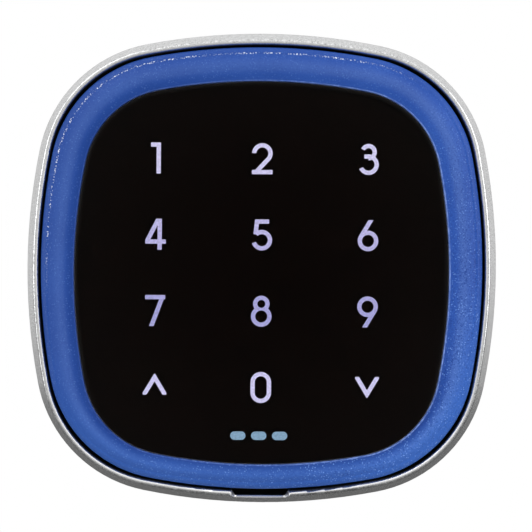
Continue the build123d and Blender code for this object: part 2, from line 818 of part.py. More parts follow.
def on_circle(cx, cz, r, angle):
    return (cx + r * cos(radians(angle)), cz + r * sin(radians(angle)))


def draw(pen):
    """Gives the pen's path the width of a legend stroke."""
    trace(pen.edges(), line_width=stroke)


def bowl_with_tail():
    """A round bowl with a straight tail that leaves it on a tangent, as in a six."""
    tail = (0.62, top + 0.2)
    dx = tail[0]
    dz = tail[1] - bowl_z
    angle = degrees(atan2(dz, dx)) + degrees(acos(side / sqrt(dx * dx + dz * dz)))
    with BuildLine() as pen:
        Line(tail, on_circle(0, bowl_z, side, angle))
    draw(pen)
    with Locations((0, bowl_z)):
        Circle(side + stroke / 2)
        Circle(side - stroke / 2, mode=Mode.SUBTRACT)


def digit(n):
    """One digit in the current sketch, clipped to its own box."""
    if n == 0:
        SlotOverall(digit_h, digit_w, rotation=90)
        SlotOverall(digit_h - 2 * stroke, digit_w - 2 * stroke, rotation=90, mode=Mode.SUBTRACT)
    elif n == 1:
        with BuildLine() as pen:
            Polyline((-0.92, mid_top), (0.46, mid_top), (0.46, -top))
        draw(pen)
    elif n == 2:
        arc_z = mid_top - side
        with BuildLine() as pen:
            CenterArc((0, arc_z), side, -38, 216)
        draw(pen)
        with BuildLine() as pen:
            Line(on_circle(0, arc_z, side, -38), (-side, -top))
        draw(pen)
        with Locations((0, -mid_top)):
            Rectangle(digit_w, stroke)
    elif n == 3:
        with BuildLine() as pen:
            CenterArc((0, mid_top - small_r), small_r, -90, 245)
        draw(pen)
        with BuildLine() as pen:
            CenterArc((0, bowl_z), side, -155, 245)
        draw(pen)
        with Locations((-0.35, bowl_z + side - 0.02)):
            Rectangle(0.8, stroke)
    elif n == 4:
        with BuildLine() as pen:
            Line((0.7, top + 0.35), (-1.5, -1.2))
        draw(pen)
        with Locations((0, -1.3)):
            Rectangle(digit_w, stroke)
        with Locations((0.72, 0)):
            Rectangle(stroke, digit_h)
    elif n == 5:
        with BuildLine() as pen:
            CenterArc((0, bowl_z), side, -163, 298)
        draw(pen)
        with BuildLine() as pen:
            Polyline((-1.1, 0.1), (-0.86, mid_top), (1.27, mid_top))
        draw(pen)
    elif n == 7:
        with Locations((0, mid_top)):
            Rectangle(digit_w - 0.1, stroke)
        with BuildLine() as pen:
            Line((1.3, mid_top + 0.1), (-0.75, -top - 0.3))
        draw(pen)
    elif n == 8:
        with Locations((0, mid_top - small_r)):
            Circle(small_r + stroke / 2)
        with Locations((0, bowl_z)):
            Circle(side + stroke / 2)
        with Locations((0, mid_top - small_r)):
            Circle(small_r - stroke / 2, mode=Mode.SUBTRACT)
        with Locations((0, bowl_z)):
            Circle(side - stroke / 2, mode=Mode.SUBTRACT)
    else:
        bowl_with_tail()
    Rectangle(digit_w + 0.1, digit_h, mode=Mode.INTERSECT)


def chevron():
    """An upward chevron with its feet cut level."""
    with BuildLine() as pen:
        Polyline((-2.25, -2.5), (0, 1.25), (2.25, -2.5))
    draw(pen)
    Rectangle(4.2, 3.7, mode=Mode.INTERSECT)


legend_faces = []
for n in range(10):
    place = (n - 1) if n else 10
    turn = 180 if n == 9 else 0
    with BuildSketch() as legend:
        digit(n)
    legend_faces.append((legend.sketch, key_points[place], turn))
with BuildSketch() as arrow:
    chevron()
legend_faces.append((arrow.sketch, (key_points[9][0], key_points[9][1] + 0.45), 0))
legend_faces.append((arrow.sketch, (key_points[11][0], key_points[11][1] + 0.15), 180))

with BuildPart() as legend_mask:
    with BuildSketch(front(mask_h0)):
        panel_face(0.12)
    extrude(amount=mask_h1 - mask_h0)
    with BuildSketch(front(mask_h0 - 0.5)):
        for face, point, turn in legend_faces:
            with Locations(Location((point[0], point[1], 0), (0, 0, turn))):
                add(face)
        with Locations(*[(x, status_z) for x in status_x]):
            SlotOverall(2.7, 1.5)
    extrude(amount=1.5, mode=Mode.SUBTRACT)
legend_mask.part.label = "legend_mask"
export_step(legend_mask.part, "parts/legend_mask.step")

with BuildPart() as legend_diffuser:
    with BuildSketch(front(grid_top)):
        panel_face(1.6)
    extrude(amount=mask_h0 - grid_top)
legend_diffuser.part.label = "legend_diffuser"
export_step(legend_diffuser.part, "parts/legend_diffuser.step")

grid_screws_at = [(-9.4, 12.6), (9.4, 12.6), (-9.4, -14.4), (9.4, -14.4)]
with BuildPart() as light_well_grid:
    with BuildSketch(front(touch_h1)):
        panel_face(1.9)
        with Locations(*key_points):
            Circle(4.9, mode=Mode.SUBTRACT)
        with Locations((-0.3, status_z)):
            SlotOverall(12.4, 3.2, mode=Mode.SUBTRACT)
    extrude(amount=grid_top - touch_h1)
    with BuildSketch(front(touch_h1)):
        with Locations(*grid_screws_at):
            Circle(1.0)
    extrude(amount=1.9, mode=Mode.SUBTRACT)
light_well_grid.part.label = "light_well_grid"
export_step(light_well_grid.part, "parts/light_well_grid.step")

# ---- touch board ------------------------------------------------------------------------------
with BuildPart() as touch_board:
    with BuildSketch(front(touch_h0)):
        shell_face(touch_half)
        with Locations(*grid_screws_at):
            Circle(1.1, mode=Mode.SUBTRACT)
        with Locations((0, header_z)):
            with GridLocations(header_pitch, header_pitch, header_cols, 2):
                Rectangle(0.7, 0.7, mode=Mode.SUBTRACT)
    extrude(amount=board_t)
touch_board.part.label = "touch_board"
export_step(touch_board.part, "parts/touch_board.step")

with BuildPart() as grid_screws:
    with BuildSketch(front(touch_h0)):
        with Locations(*grid_screws_at):
            Circle(0.95)
    extrude(amount=touch_h1 - touch_h0 + 1.7)
    with BuildSketch(front(touch_h0 - 1.3)):
        with Locations(*grid_screws_at):
            Circle(1.9)
    extrude(amount=1.3)
    head_backs = grid_screws.faces().sort_by(Axis.Y)[-4:]
    fillet(head_backs.edges(), 0.5)
    with BuildSketch(front(touch_h0 - 1.8)):
        for gx, gz in grid_screws_at:
            with Locations((gx, gz)):
                Rectangle(2.0, 0.5)
                Rectangle(0.5, 2.0)
    extrude(amount=1.2, mode=Mode.SUBTRACT)
grid_screws.part.label = "grid_screws"
export_step(grid_screws.part, "parts/grid_screws.step")

# ---- lamps ------------------------------------------------------------------------------------
with BuildPart() as key_leds:
    with BuildSketch(front(touch_h1)):
        with Locations(*key_points):
            Rectangle(2.0, 1.25)
        with Locations(*[(x, status_z) for x in status_x]):
            Rectangle(1.6, 0.8)
    extrude(amount=0.45)
    with BuildSketch(front(touch_h1 + 0.45)):
        with Locations(*key_points):
            Rectangle(1.4, 1.1)
        with Locations(*[(x, status_z) for x in status_x]):
            Rectangle(1.0, 0.7)
    extrude(amount=0.35)
key_leds.part.label = "key_leds"
export_step(key_leds.part, "parts/key_leds.step")

ring_led_at = [(0, 35.95), (-10, 35.45), (10, 35.45)]
ring_led_at += [(s * 36.0, 0) for s in (-1, 1)]
ring_led_at += [(s * 35.5, t * 10) for s in (-1, 1) for t in (-1, 1)]
ring_led_at += [(s * 29.1, 29.0) for s in (-1, 1)]
ring_led_at += [(s * 29.0, -29.85) for s in (-1, 1)]
with BuildPart() as ring_leds:
    with BuildSketch(front(touch_h1)):
        with Locations(*ring_led_at):
            Rectangle(0.8, 0.8)
    extrude(amount=0.6)
ring_leds.part.label = "ring_leds"
export_step(ring_leds.part, "parts/ring_leds.step")

# ---- touch springs, one in each light well ----------------------------------------------------
with BuildPart() as one_coil:
    with BuildLine() as coil:
        Helix(pitch=0.62, height=1.86, radius=3.2, center=(0, -touch_h1 - 0.22, 0), direction=(0, -1, 0))
    with BuildSketch(Plane(origin=coil.line @ 0, z_dir=coil.line % 0)):
        Circle(0.2)
    sweep(path=coil.line)

with BuildPart() as touch_springs:
    for kx, kz in key_points:
        add(one_coil.part.moved(Location((kx, 0, kz))))
touch_springs.part.label = "touch_springs"
export_step(touch_springs.part, "parts/touch_springs.step")

# ---- card antenna: six turns of wire laid round the light wells -------------------------------
wire_r = 0.2
with BuildPart() as rfid_antenna_coil:
    for layer in (0, 1):
        for turn in (0, 1, 2):
            inset = 0.42 + 0.46 * turn
            h = touch_h1 + 0.25 + 0.44 * layer
            with BuildLine(front(h)) as loop:
                bowed_outline(
                    panel_half_x - inset,
                    panel_half_z - inset,
                    panel_corner_r - inset,
                    panel_side_r - inset,
                    panel_dz,
                )
            lap = loop.wires()[0]
            with BuildSketch(Plane(origin=lap @ 0, x_dir=(0, -1, 0), z_dir=lap % 0)):
                Circle(wire_r)
            sweep(path=lap)
rfid_antenna_coil.part.label = "rfid_antenna_coil"
export_step(rfid_antenna_coil.part, "parts/rfid_antenna_coil.step")

# ---- chips and small parts on the back of the touch board -------------------------------------
touch_chip_at = (-18.0, -16.0)
reader_chip_at = (17.0, -19.0)
with BuildPart() as controller_chips:
    with BuildSketch(front(touch_h0 - 1.1)):
        with Locations(touch_chip_at):
            Rectangle(7.0, 7.0)
        with Locations(reader_chip_at):
            Rectangle(5.0, 5.0)
    extrude(amount=1.0)
    with BuildSketch(front(touch_h0 - 0.4)):
        with Locations(touch_chip_at):
            with GridLocations(0.8, 8.0, 8, 2):
                Rectangle(0.32, 1.2)
            with GridLocations(8.0, 0.8, 2, 8):
                Rectangle(1.2, 0.32)
        with Locations(reader_chip_at):
            with GridLocations(0.8, 5.0, 5, 2):
                Rectangle(0.3, 0.7)
            with GridLocations(5.0, 0.8, 2, 5):
                Rectangle(0.7, 0.3)
    extrude(amount=0.4)
controller_chips.part.label = "controller_chips"
export_step(controller_chips.part, "parts/controller_chips.step")

with BuildPart() as touch_smd_parts:
    with BuildSketch(front(touch_h0 - 0.55)):
        with Locations(*[(-24 + 2.4 * i, -24.5) for i in range(6)]):
            Rectangle(0.8, 1.6)
        with Locations(*[(12.0 + 2.4 * i, -24.8) for i in range(5)]):
            Rectangle(0.8, 1.6)
        with Locations(*[(-26.0, -12.0 - 2.2 * i) for i in range(5)]):
            Rectangle(1.6, 0.8)
        with Locations(*[(24.0, -14.0 - 2.2 * i) for i in range(5)]):
            Rectangle(1.6, 0.8)
        with Locations(*[(-26.0, 6.0 + 2.6 * i) for i in range(6)]):
            Rectangle(1.6, 0.8)
        with Locations(*[(27.0, 2.0 + 2.6 * i) for i in range(6)]):
            Rectangle(1.6, 0.8)
    extrude(amount=0.55)
    with BuildSketch(front(touch_h0 - 0.9)):
        with Locations((0, -20.5), (27.5, -8.5)):
            Rectangle(5.0, 3.2)
    extrude(amount=0.9)
touch_smd_parts.part.label = "touch_smd_parts"
export_step(touch_smd_parts.part, "parts/touch_smd_parts.step")
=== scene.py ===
"""Looks of the wall-mounted keypad access reader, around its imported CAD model.

The frame is the model's own: X to the right, Z up, the front faces -Y and the wall is the plane Y = 0.
A height is a distance from the wall towards the front, so a point at height h has Y = -h.
Lengths are millimetres and become metres where geometry is made. Only the studio's are given in metres.
"""

import json
import math

import bmesh
import bpy
from mathutils import Matrix, Vector


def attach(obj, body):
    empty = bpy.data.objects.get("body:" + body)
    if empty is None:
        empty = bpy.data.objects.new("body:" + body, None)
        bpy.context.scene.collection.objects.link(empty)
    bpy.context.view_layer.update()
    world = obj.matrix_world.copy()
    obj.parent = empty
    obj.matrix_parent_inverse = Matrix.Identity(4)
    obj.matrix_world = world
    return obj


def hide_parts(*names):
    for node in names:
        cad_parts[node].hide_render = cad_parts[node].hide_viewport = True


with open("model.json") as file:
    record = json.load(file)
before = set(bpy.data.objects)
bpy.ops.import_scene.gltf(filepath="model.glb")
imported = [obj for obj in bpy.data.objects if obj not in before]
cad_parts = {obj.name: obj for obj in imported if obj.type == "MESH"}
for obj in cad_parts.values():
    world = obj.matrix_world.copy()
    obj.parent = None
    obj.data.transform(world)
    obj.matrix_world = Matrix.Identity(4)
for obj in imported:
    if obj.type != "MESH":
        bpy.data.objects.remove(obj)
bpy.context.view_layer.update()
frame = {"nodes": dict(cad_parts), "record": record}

MM = 0.001
QUARTER = math.pi / 2

# ---- outlines of the object -------------------------------------------------------------------
# half width, half height, corner radius, side radius, Z of the centre
RING_OUTLINE = (39.05, 39.05, 21.8, 106.05, 0.0)
PANEL_OUTLINE = (33.2, 33.9, 16.2, 98.7, -0.85)
POINTS_PER_ARC = 40


def corner_centre(ax, az, reach):
    """Centre (x, z) of the upper right corner, `reach` away from both (-ax, 0) and (0, -az)."""
    offset, slope = (ax * ax - az * az) / (2 * az), ax / az
    a, b, c = 1 + slope * slope, 2 * (ax + offset * slope), ax * ax + offset * offset - reach**2
    x = (-b + math.sqrt(b * b - 4 * a * c)) / (2 * a)
    return x, offset + slope * x


def outline(shape, inset):
    """Points of a bowed square, moved inwards, as (x, z) pairs that start at the right-hand side."""
    half_x, half_z, corner, bow, centre_z = shape
    ax, az = bow - half_x, bow - half_z
    cx, cz = corner_centre(ax, az, bow - corner)
    side, top = math.atan2(cz, cx + ax), math.atan2(cx, cz + az)
    sweep = QUARTER - side - top
    arcs = [  # centre, radius, start and turn
        (-ax, 0, bow, -side, 2 * side),
        (cx, cz, corner, side, sweep),
        (0, -az, bow, QUARTER - top, 2 * top),
        (-cx, cz, corner, QUARTER + top, sweep),
        (ax, 0, bow, 2 * QUARTER - side, 2 * side),
        (-cx, -cz, corner, 2 * QUARTER + side, sweep),
        (0, az, bow, 3 * QUARTER - top, 2 * top),
        (cx, -cz, corner, 3 * QUARTER + top, sweep),
    ]
    points = []
    for x0, z0, radius, start, turn in arcs:
        reach = radius - inset
        for i in range(POINTS_PER_ARC):
            a = start + turn * i / POINTS_PER_ARC
            points.append((x0 + reach * math.cos(a), centre_z + z0 + reach * math.sin(a)))
    return points


def lap(shape, inset, height):
    """One closed row of points round an outline, each (x, z, height)."""
    return [(x, z, height) for x, z in outline(shape, inset)]


def quarter_turn(steps):
    """The angles that end each of a quarter turn's equal steps."""
    return [math.radians(90 * i / steps) for i in range(1, steps + 1)]


def loft(name, rows, closed=False):
    """A smooth mesh through rows of points; the last row joins the first, or both ends are capped."""
    mesh = bpy.data.meshes.new(name)
    bm = bmesh.new()
    rings = [[bm.verts.new((x * MM, -h * MM, z * MM)) for x, z, h in row] for row in rows]
    pairs = list(zip(rings, rings[1:]))
    if closed:
        pairs.append((rings[-1], rings[0]))
    for a, b in pairs:
        for i in range(len(a)):
            j = (i + 1) % len(a)
            bm.faces.new((a[i], a[j], b[j], b[i]))
    if not closed:
        bm.faces.new(rings[0])
        bm.faces.new(list(reversed(rings[-1])))
    bmesh.ops.recalc_face_normals(bm, faces=bm.faces)
    for face in bm.faces:
        face.smooth = True
    bm.to_mesh(mesh)
    bm.free()
    return mesh


def sharp_above(mesh, degrees):
    """Marks the edges that bend more than an angle as sharp."""
    bm = bmesh.new()
    bm.from_mesh(mesh)
    limit = math.radians(degrees)
    for edge in bm.edges:
        if len(edge.link_faces) == 2 and edge.calc_face_angle() > limit:
            edge.smooth = False
    bm.to_mesh(mesh)
    bm.free()


def new_piece(name, mesh, body, slot, *stands_for):
    """Links a finished mesh as a piece that rides on a body and stands for CAD nodes."""
    piece = bpy.data.objects.new(name, mesh)
    bpy.context.scene.collection.objects.link(piece)
    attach(piece, body)
    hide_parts(*stands_for)
    return piece


# ---- light ring -------------------------------------------------------------------------------
RING_BACK = 17.4
BACK_CHAMFER = 0.15  # of the ring's back edge
WALL_HEIGHTS = (20.0, 22.0, 22.3)  # of the rows up its outer wall
SHOULDER = 1.15  # width of the rounding between the outer wall and the face
SHOULDER_FOOT = 22.35
SHOULDER_RISE = 1.47
CROWN_RISE = 0.58  # from the top of the shoulder to the crest
CROWN_FALL = 0.3  # from the crest to the glass
CREST_AT = 0.42  # share of the way from the shoulder to the glass
FALL_CURVE = 1.7
EDGE_ROUND = 0.16  # of the ring's inner edge, beside the glass
LEDGE_TOP, LEDGE_BACK = 21.2, 20.2  # of the ledge under the glass
CROWN_UNDERSIDE = 22.0
# rows of the ring's hidden inside, from the glass round to its back: outline, inset, height
RING_INSIDE = [
    (PANEL_OUTLINE, 0, LEDGE_TOP),
    (PANEL_OUTLINE, 1.5, LEDGE_TOP),
    (PANEL_OUTLINE, 1.5, LEDGE_BACK),
    (PANEL_OUTLINE, -0.3, LEDGE_BACK),
    (PANEL_OUTLINE, -1.0, CROWN_UNDERSIDE),
    (RING_OUTLINE, 2.1, CROWN_UNDERSIDE),
    (RING_OUTLINE, 1.95, RING_BACK),
]


def ring_spokes():
    """For each point of the ring's outline: x, z, the way to the panel, and the band's width there."""
    spokes = []
    for (ox, oz), (ix, iz) in zip(outline(RING_OUTLINE, 0), outline(PANEL_OUTLINE, 0)):
        width = math.hypot(ix - ox, iz - oz)
        spokes.append((ox, oz, (ix - ox) / width, (iz - oz) / width, width))
    return spokes


def crown_height(inset, width):
    """Height of the ring's face at an inset from its outline, for a band of that width."""
    t = (inset - SHOULDER) / (width - SHOULDER)
    rise = math.sin(min(t / CREST_AT, 1) * QUARTER)
    fall = max(0, (t - CREST_AT) / (1 - CREST_AT)) ** FALL_CURVE
    return SHOULDER_FOOT + SHOULDER_RISE + CROWN_RISE * rise - CROWN_FALL * fall


def ring_section(width, shoulder_steps=12, crown_steps=26, edge_steps=5):
    """(inset, height) pairs up the ring's outer wall and over its crown to the glass."""
    section = [(BACK_CHAMFER, RING_BACK), (0, RING_BACK + BACK_CHAMFER)]
    section += [(0, height) for height in WALL_HEIGHTS]
    for a in quarter_turn(shoulder_steps):
        section.append((SHOULDER * (1 - math.cos(a)), SHOULDER_FOOT + SHOULDER_RISE * math.sin(a)))
    for i in range(1, crown_steps + 1):
        inset = SHOULDER + (width - EDGE_ROUND - SHOULDER) * (i / crown_steps)
        section.append((inset, crown_height(inset, width)))
    edge = crown_height(width - EDGE_ROUND, width)
    for a in quarter_turn(edge_steps):
        section.append((width - EDGE_ROUND * (1 - math.sin(a)), edge - EDGE_ROUND * (1 - math.cos(a))))
    return section


def across_attributes(mesh, widths, insets):
    """Stores how far each point lies from the ring's outline and from the panel, in millimetres."""
    from_rim = [inset for row in insets for inset in row]
    from_panel = [width - inset for row in insets for inset, width in zip(row, widths)]
    for name, values in (("from_rim", from_rim), ("from_panel", from_panel)):
        mesh.attributes.new(name, "FLOAT", "POINT").data.foreach_set("value", values)


def build_ring():
    """The light ring: its section at each point of the outline, closed by the rows of its inside."""
    spokes = ring_spokes()
    widths = [spoke[-1] for spoke in spokes]
    rows, insets = [], []
    for row in zip(*[ring_section(width) for width in widths]):
        insets.append([inset for inset, _ in row])
        rows.append([(x + dx * d, z + dz * d, h) for (x, z, dx, dz, _), (d, h) in zip(spokes, row)])
    for shape, inset, height in RING_INSIDE:
        rows.append(lap(shape, inset, height))
        insets.append(widths)
    mesh = loft("ring_shell", rows, closed=True)
    across_attributes(mesh, widths, insets)
    sharp_above(mesh, 50)
    return new_piece("ring_shell", mesh, "front_module", "ring_blue", "light_ring")


# ---- glass ------------------------------------------------------------------------------------
GLASS_BACK = 21.62  # a hair in front of the printed mask
GLASS_FRONT = 23.6
GLASS_WALL = (22.4, 23.4)  # heights of the rows up its edge
GLASS_GAP = 0.1  # between the glass and the ring
GLASS_CHAMFER = 0.06  # of its back edge
GLASS_ROUND = 0.12  # of its front edge
FACE_INSET = 1.0  # of the last row, which keeps the face flat up to its edge


def build_glass():
    """The cover glass: chamfered at the back and rounded at the front."""
    section = [(GLASS_GAP + GLASS_CHAMFER, GLASS_BACK), (GLASS_GAP, GLASS_BACK + GLASS_CHAMFER)]
    section += [(GLASS_GAP, height) for height in GLASS_WALL]
    for a in quarter_turn(8):
        inset = GLASS_GAP + GLASS_ROUND * (1 - math.cos(a))
        section.append((inset, GLASS_FRONT - GLASS_ROUND * (1 - math.sin(a))))
    section.append((FACE_INSET, GLASS_FRONT))
    mesh = loft("glass_pane", [lap(PANEL_OUTLINE, inset, height) for inset, height in section])
    sharp_above(mesh, 40)
    return new_piece("glass_pane", mesh, "front_module", "panel_glass", "touch_glass")


# ---- shader nodes -----------------------------------------------------------------------------
def add_node(tree, kind, **settings):
    """Adds a shader node of a kind, with its settings."""
    made = tree.nodes.new("ShaderNode" + kind)
    for key, value in settings.items():
        setattr(made, key, value)
    return made


def set_stops(node, stops):
    """Fills a colour ramp with stops, each a position and a grey or a colour."""
    elements = node.color_ramp.elements
    while len(elements) < len(stops):
        elements.new(0.5)
    for element, (at, colour) in zip(elements, stops):
        element.position = at
        grey = isinstance(colour, (int, float))
        element.color = (colour, colour, colour, 1) if grey else (*colour, 1)


class Shader:
    """A material under construction: one Principled shader and the nodes that feed it."""

    def __init__(self, name, **values):
        self.mat = bpy.data.materials.new(name)
        self.mat.use_nodes = True
        self.tree = self.mat.node_tree
        self.bsdf = self.tree.nodes["Principled BSDF"]
        self.coord = self.node("TexCoord")
        for key, value in values.items():
            self.bsdf.inputs[key.replace("_", " ")].default_value = value

    def node(self, kind, **settings):
        return add_node(self.tree, kind, **settings)

    def link(self, source, target):
        self.tree.links.new(source, target)

    def set(self, **sources):
        """Feeds inputs of the Principled shader, which are named with _ for a space."""
        for key, source in sources.items():
            self.link(source, self.bsdf.inputs[key.replace("_", " ")])

    def place(self, scale=(1, 1, 1), turn=(0, 0, 0)):
        """Object coordinates, turned and scaled."""
        made = self.node("Mapping")
        made.inputs["Scale"].default_value = scale
        made.inputs["Rotation"].default_value = turn
        self.link(self.coord.outputs["Object"], made.inputs["Vector"])
        return made.outputs["Vector"]

    def attribute(self, name, full):
        """A distance stored on the mesh, as a share of `full` millimetres."""
        made = self.node("Attribute", attribute_name=name)
        return self.math("DIVIDE", made.outputs["Fac"], full)

    def axis(self, letter, low, high):
        """Position along one axis, from 0 at `low` to 1 at `high` millimetres."""
        split = self.node("SeparateXYZ")
        self.link(self.coord.outputs["Object"], split.inputs["Vector"])
        made = self.node("MapRange")
        made.inputs["From Min"].default_value = low * MM
        made.inputs["From Max"].default_value = high * MM
        self.link(split.outputs[letter], made.inputs["Value"])
        return made.outputs["Result"]

    def outwards(self):
        """How far the surface faces away from the middle of the panel: 0 inwards, 1 outwards."""
        flat = self.node("VectorMath", operation="MULTIPLY")
        flat.inputs[1].default_value = (1, 0, 1)
        self.link(self.coord.outputs["Object"], flat.inputs[0])
        away = self.node("VectorMath", operation="NORMALIZE")
        self.link(flat.outputs[0], away.inputs[0])
        made = self.node("VectorMath", operation="DOT_PRODUCT")
        self.link(away.outputs[0], made.inputs[0])
        self.link(self.coord.outputs["Normal"], made.inputs[1])
        return self.math("ADD", self.math("MULTIPLY", made.outputs["Value"], 0.5), 0.5)

    def noise(self, size, detail=3.0, rough=0.5, vector=None):
        """Noise whose features are about `size` millimetres across, in object coordinates by default."""
        made = self.node("TexNoise")
        made.inputs["Scale"].default_value = 1 / (size * MM)
        made.inputs["Detail"].default_value = detail
        made.inputs["Roughness"].default_value = rough
        self.link(vector or self.coord.outputs["Object"], made.inputs["Vector"])
        return made.outputs["Fac"]

    def cells(self, size):
        """Distance to the nearest of many points that are scattered about `size` millimetres apart."""
        made = self.node("TexVoronoi")
        made.inputs["Scale"].default_value = 1 / (size * MM)
        self.link(self.coord.outputs["Object"], made.inputs["Vector"])
        return made.outputs["Distance"]

    def courses(self, length, pitch, turn, line=0.11):
        """Thin lines between staggered courses laid in the plane of the wall, as a 0 to 1 mask."""
        made = self.node("TexBrick")
        made.inputs["Scale"].default_value = 1 / MM
        made.inputs["Mortar Size"].default_value = line
        made.inputs["Brick Width"].default_value = length
        made.inputs["Row Height"].default_value = pitch
        self.link(self.place(turn=(QUARTER, 0, math.radians(turn))), made.inputs["Vector"])
        return made.outputs["Fac"]

    def ramp(self, source, stops):
        """A value turned into greys or colours, by stops along it."""
        made = self.node("ValToRGB")
        set_stops(made, stops)
        self.link(source, made.inputs["Fac"])
        return made.outputs["Color"]

    def math(self, operation, a, b):
        """An operation on two values, each a number or an output."""
        made = self.node("Math", operation=operation)
        for socket, value in zip(made.inputs, (a, b)):
            if isinstance(value, (int, float)):
                socket.default_value = value
            else:
                self.link(value, socket)
        return made.outputs["Value"]

    def product(self, mask, *others):
        """Two or more masks multiplied together."""
        for other in others:
            mask = self.math("MULTIPLY", mask, other)
        return mask

    def mix(self, factor, a, b, blend="MIX"):
        """Colour a turned towards colour b by a factor, each a number, a colour or an output."""
        made = self.node("Mix", data_type="RGBA", blend_type=blend)
        for socket, value in zip((made.inputs[0], made.inputs[6], made.inputs[7]), (factor, a, b)):
            if isinstance(value, (int, float)):
                socket.default_value = value
            elif isinstance(value, tuple):
                socket.default_value = (*value, 1)
            else:
                self.link(value, socket)
        return made.outputs[2]

    def tint(self, colour, *others):
        """A colour multiplied by one or more others."""
        for other in others:
            colour = self.mix(1.0, colour, other, "MULTIPLY")
        return colour

    def bump(self, height, depth, strength):
        """Bump of a depth in millimetres."""
        made = self.node("Bump")
        made.inputs["Strength"].default_value = strength
        made.inputs["Distance"].default_value = depth * MM
        self.link(height, made.inputs["Height"])
        self.link(made.outputs["Normal"], self.bsdf.inputs["Normal"])


def tone(colour, factor):
    """A lighter or darker tone of a colour."""
    return tuple(min(1.0, c * factor) for c in colour)


# ---- metal housing ----------------------------------------------------------------------------
def worn_metal_and_foot_shade(s, streak):
    """Cloudy, streaked, specked and gritty metal, with painted shade at its foot by the wall."""
    cloud = s.ramp(s.noise(6, 3, 0.5), [(0.3, (0.64, 0.645, 0.65)), (0.7, (0.72, 0.725, 0.73))])
    streaked = s.mix(s.ramp(streak, [(0.45, 0.0), (0.75, 0.5)]), cloud, (0.86, 0.86, 0.86))
    specks = s.ramp(s.noise(0.5, 2, 0.7), [(0.6, 1.0), (0.7, 0.55)])
    drawn_out = s.place((1, 0.06, 1))
    marks = s.ramp(s.noise(0.4, 3, 0.7, drawn_out), [(0.36, 0.74), (0.5, 1.0), (0.64, 1.16)])
    grit = s.ramp(s.noise(0.3, 2, 0.7), [(0.35, 0.8), (0.65, 1.16)])
    # painted shade: darker towards the foot, by the wall
    foot = s.ramp(s.axis("Y", -3, 0), [(0.2, 1.0), (0.75, 0.74)])
    return s.tint(streaked, specks, marks, grit, foot)


def gap_shade_mask(s, facing_out):
    """Mask of painted shade on the metal that faces the ring and in the pry notch's well, at heights 12
    to 19.2, where the metal is also duller.
    """
    wall = s.ramp(facing_out, [(0.0, 0.95), (0.05, 0.5), (0.14, 0.1), (0.3, 0.0)])
    in_well = s.ramp(s.axis("Y", -19.2, -12), [(0.0, 0.0), (0.25, 1.0), (0.85, 1.0), (1.0, 0.0)])
    not_flank = s.ramp(facing_out, [(0.6, 1.0), (0.8, 0.0)])
    return s.math("MAXIMUM", wall, s.product(in_well, not_flank))


def crest_highlight_mask(s, facing_out):
    """Mask of a painted highlight on the rim's narrow crest, where it faces forwards or a little inwards.
    """
    near_rim = s.ramp(s.axis("Y", -22.9, -18.9), [(0.92, 1.0), (1.0, 0.0)])
    facing_in = s.ramp(facing_out, [(0.18, 0.0), (0.3, 1.0), (0.5, 1.0), (0.58, 0.0)])
    return s.product(near_rim, facing_in)


def satin_metal():
    """Die-cast housing with a satin finish, a duller inner wall and notch well under painted shade, and a
    painted highlight on the crest.
    """
    s = Shader("satin_metal", Metallic=1.0)
    grain = s.noise(0.22, 4, 0.6)
    streak = s.noise(1.4, 4, 0.65, s.place((1, 1, 7), (0, math.radians(38), 0)))
    facing_out = s.outwards()
    inside, crest = gap_shade_mask(s, facing_out), crest_highlight_mask(s, facing_out)
    # painted shade: near black on the inner wall and in the notch's well
    colour = s.mix(inside, worn_metal_and_foot_shade(s, streak), (0.03, 0.03, 0.027))
    # painted highlight: a pale colour along the crest
    s.set(Base_Color=s.mix(crest, colour, (0.97, 0.97, 0.96)))
    rough = s.ramp(s.math("ADD", grain, s.product(streak, 0.5)), [(0.5, 0.2), (1.0, 0.36)])
    dull = s.math("MAXIMUM", inside, s.product(crest, 0.35))
    s.set(Roughness=s.mix(dull, rough, (0.7, 0.7, 0.7)))
    s.bump(grain, 0.012, 0.8)
    return s.mat


# ---- blue ring --------------------------------------------------------------------------------
class RingShader(Shader):
    """The ring's material under construction, with the places on it that its layers share."""

    def __init__(self, name, half_width=39, **values):
        super().__init__(name, **values)
        self.right = self.axis("X", -half_width, half_width)
        self.up = self.axis("Z", -half_width, half_width)
        self.inset = self.attribute("from_rim", 8)
        self.from_panel = self.attribute("from_panel", 4)
        self.lower_right = self.math("SUBTRACT", self.right, self.up)
        self.coarse = self.ramp(self.lower_right, [(0.0, 0.3), (0.3, 0.6), (0.65, 1.0)])


def ring_shading(s):
    """Blue with painted light along the crown and to the right, painted shade inside at the left and
    foot, and a painted highlight along its ridge.
    """
    base = s.ramp(s.noise(9, 3, 0.5), [(0.3, (0.0205, 0.071, 0.328)), (0.7, (0.0262, 0.0845, 0.364))])
    # painted light: lighter along the crown and to the right
    crown = s.ramp(s.inset, [(0.02, 0.92), (0.14, 0.96), (0.4, 1.08), (0.6, 0.95), (0.85, 0.9)])
    side_light = s.ramp(s.right, [(0.0, 0.94), (0.5, 0.97), (1.0, 1.2)])
    # painted shade: darker inside, at the left and at the foot
    inner = s.ramp(s.from_panel, [(0.1, 1.0), (0.52, 0.0)])
    left = s.ramp(s.right, [(0.12, 0.58), (0.5, 0.0)])
    below = s.ramp(s.up, [(0.16, 0.72), (0.4, 0.0)])
    shade = s.product(inner, s.math("MAXIMUM", left, below))
    shaded = s.mix(shade, s.tint(base, crown, side_light), (0.006, 0.034, 0.2))
    # painted highlight: a pale ridge along the middle of the band, strongest on the right
    ridge_highlight = s.ramp(s.inset, [(0.2, 0.0), (0.38, 1.0), (0.48, 0.8), (0.62, 0.0)])
    clear_of_panel = s.ramp(s.from_panel, [(0.22, 0.0), (0.5, 1.0)])
    ridge_lit = s.ramp(s.right, [(0.05, 0.14), (0.5, 0.12), (0.9, 0.22)])
    return s.mix(s.product(ridge_highlight, clear_of_panel, ridge_lit), shaded, (0.19, 0.27, 0.46))


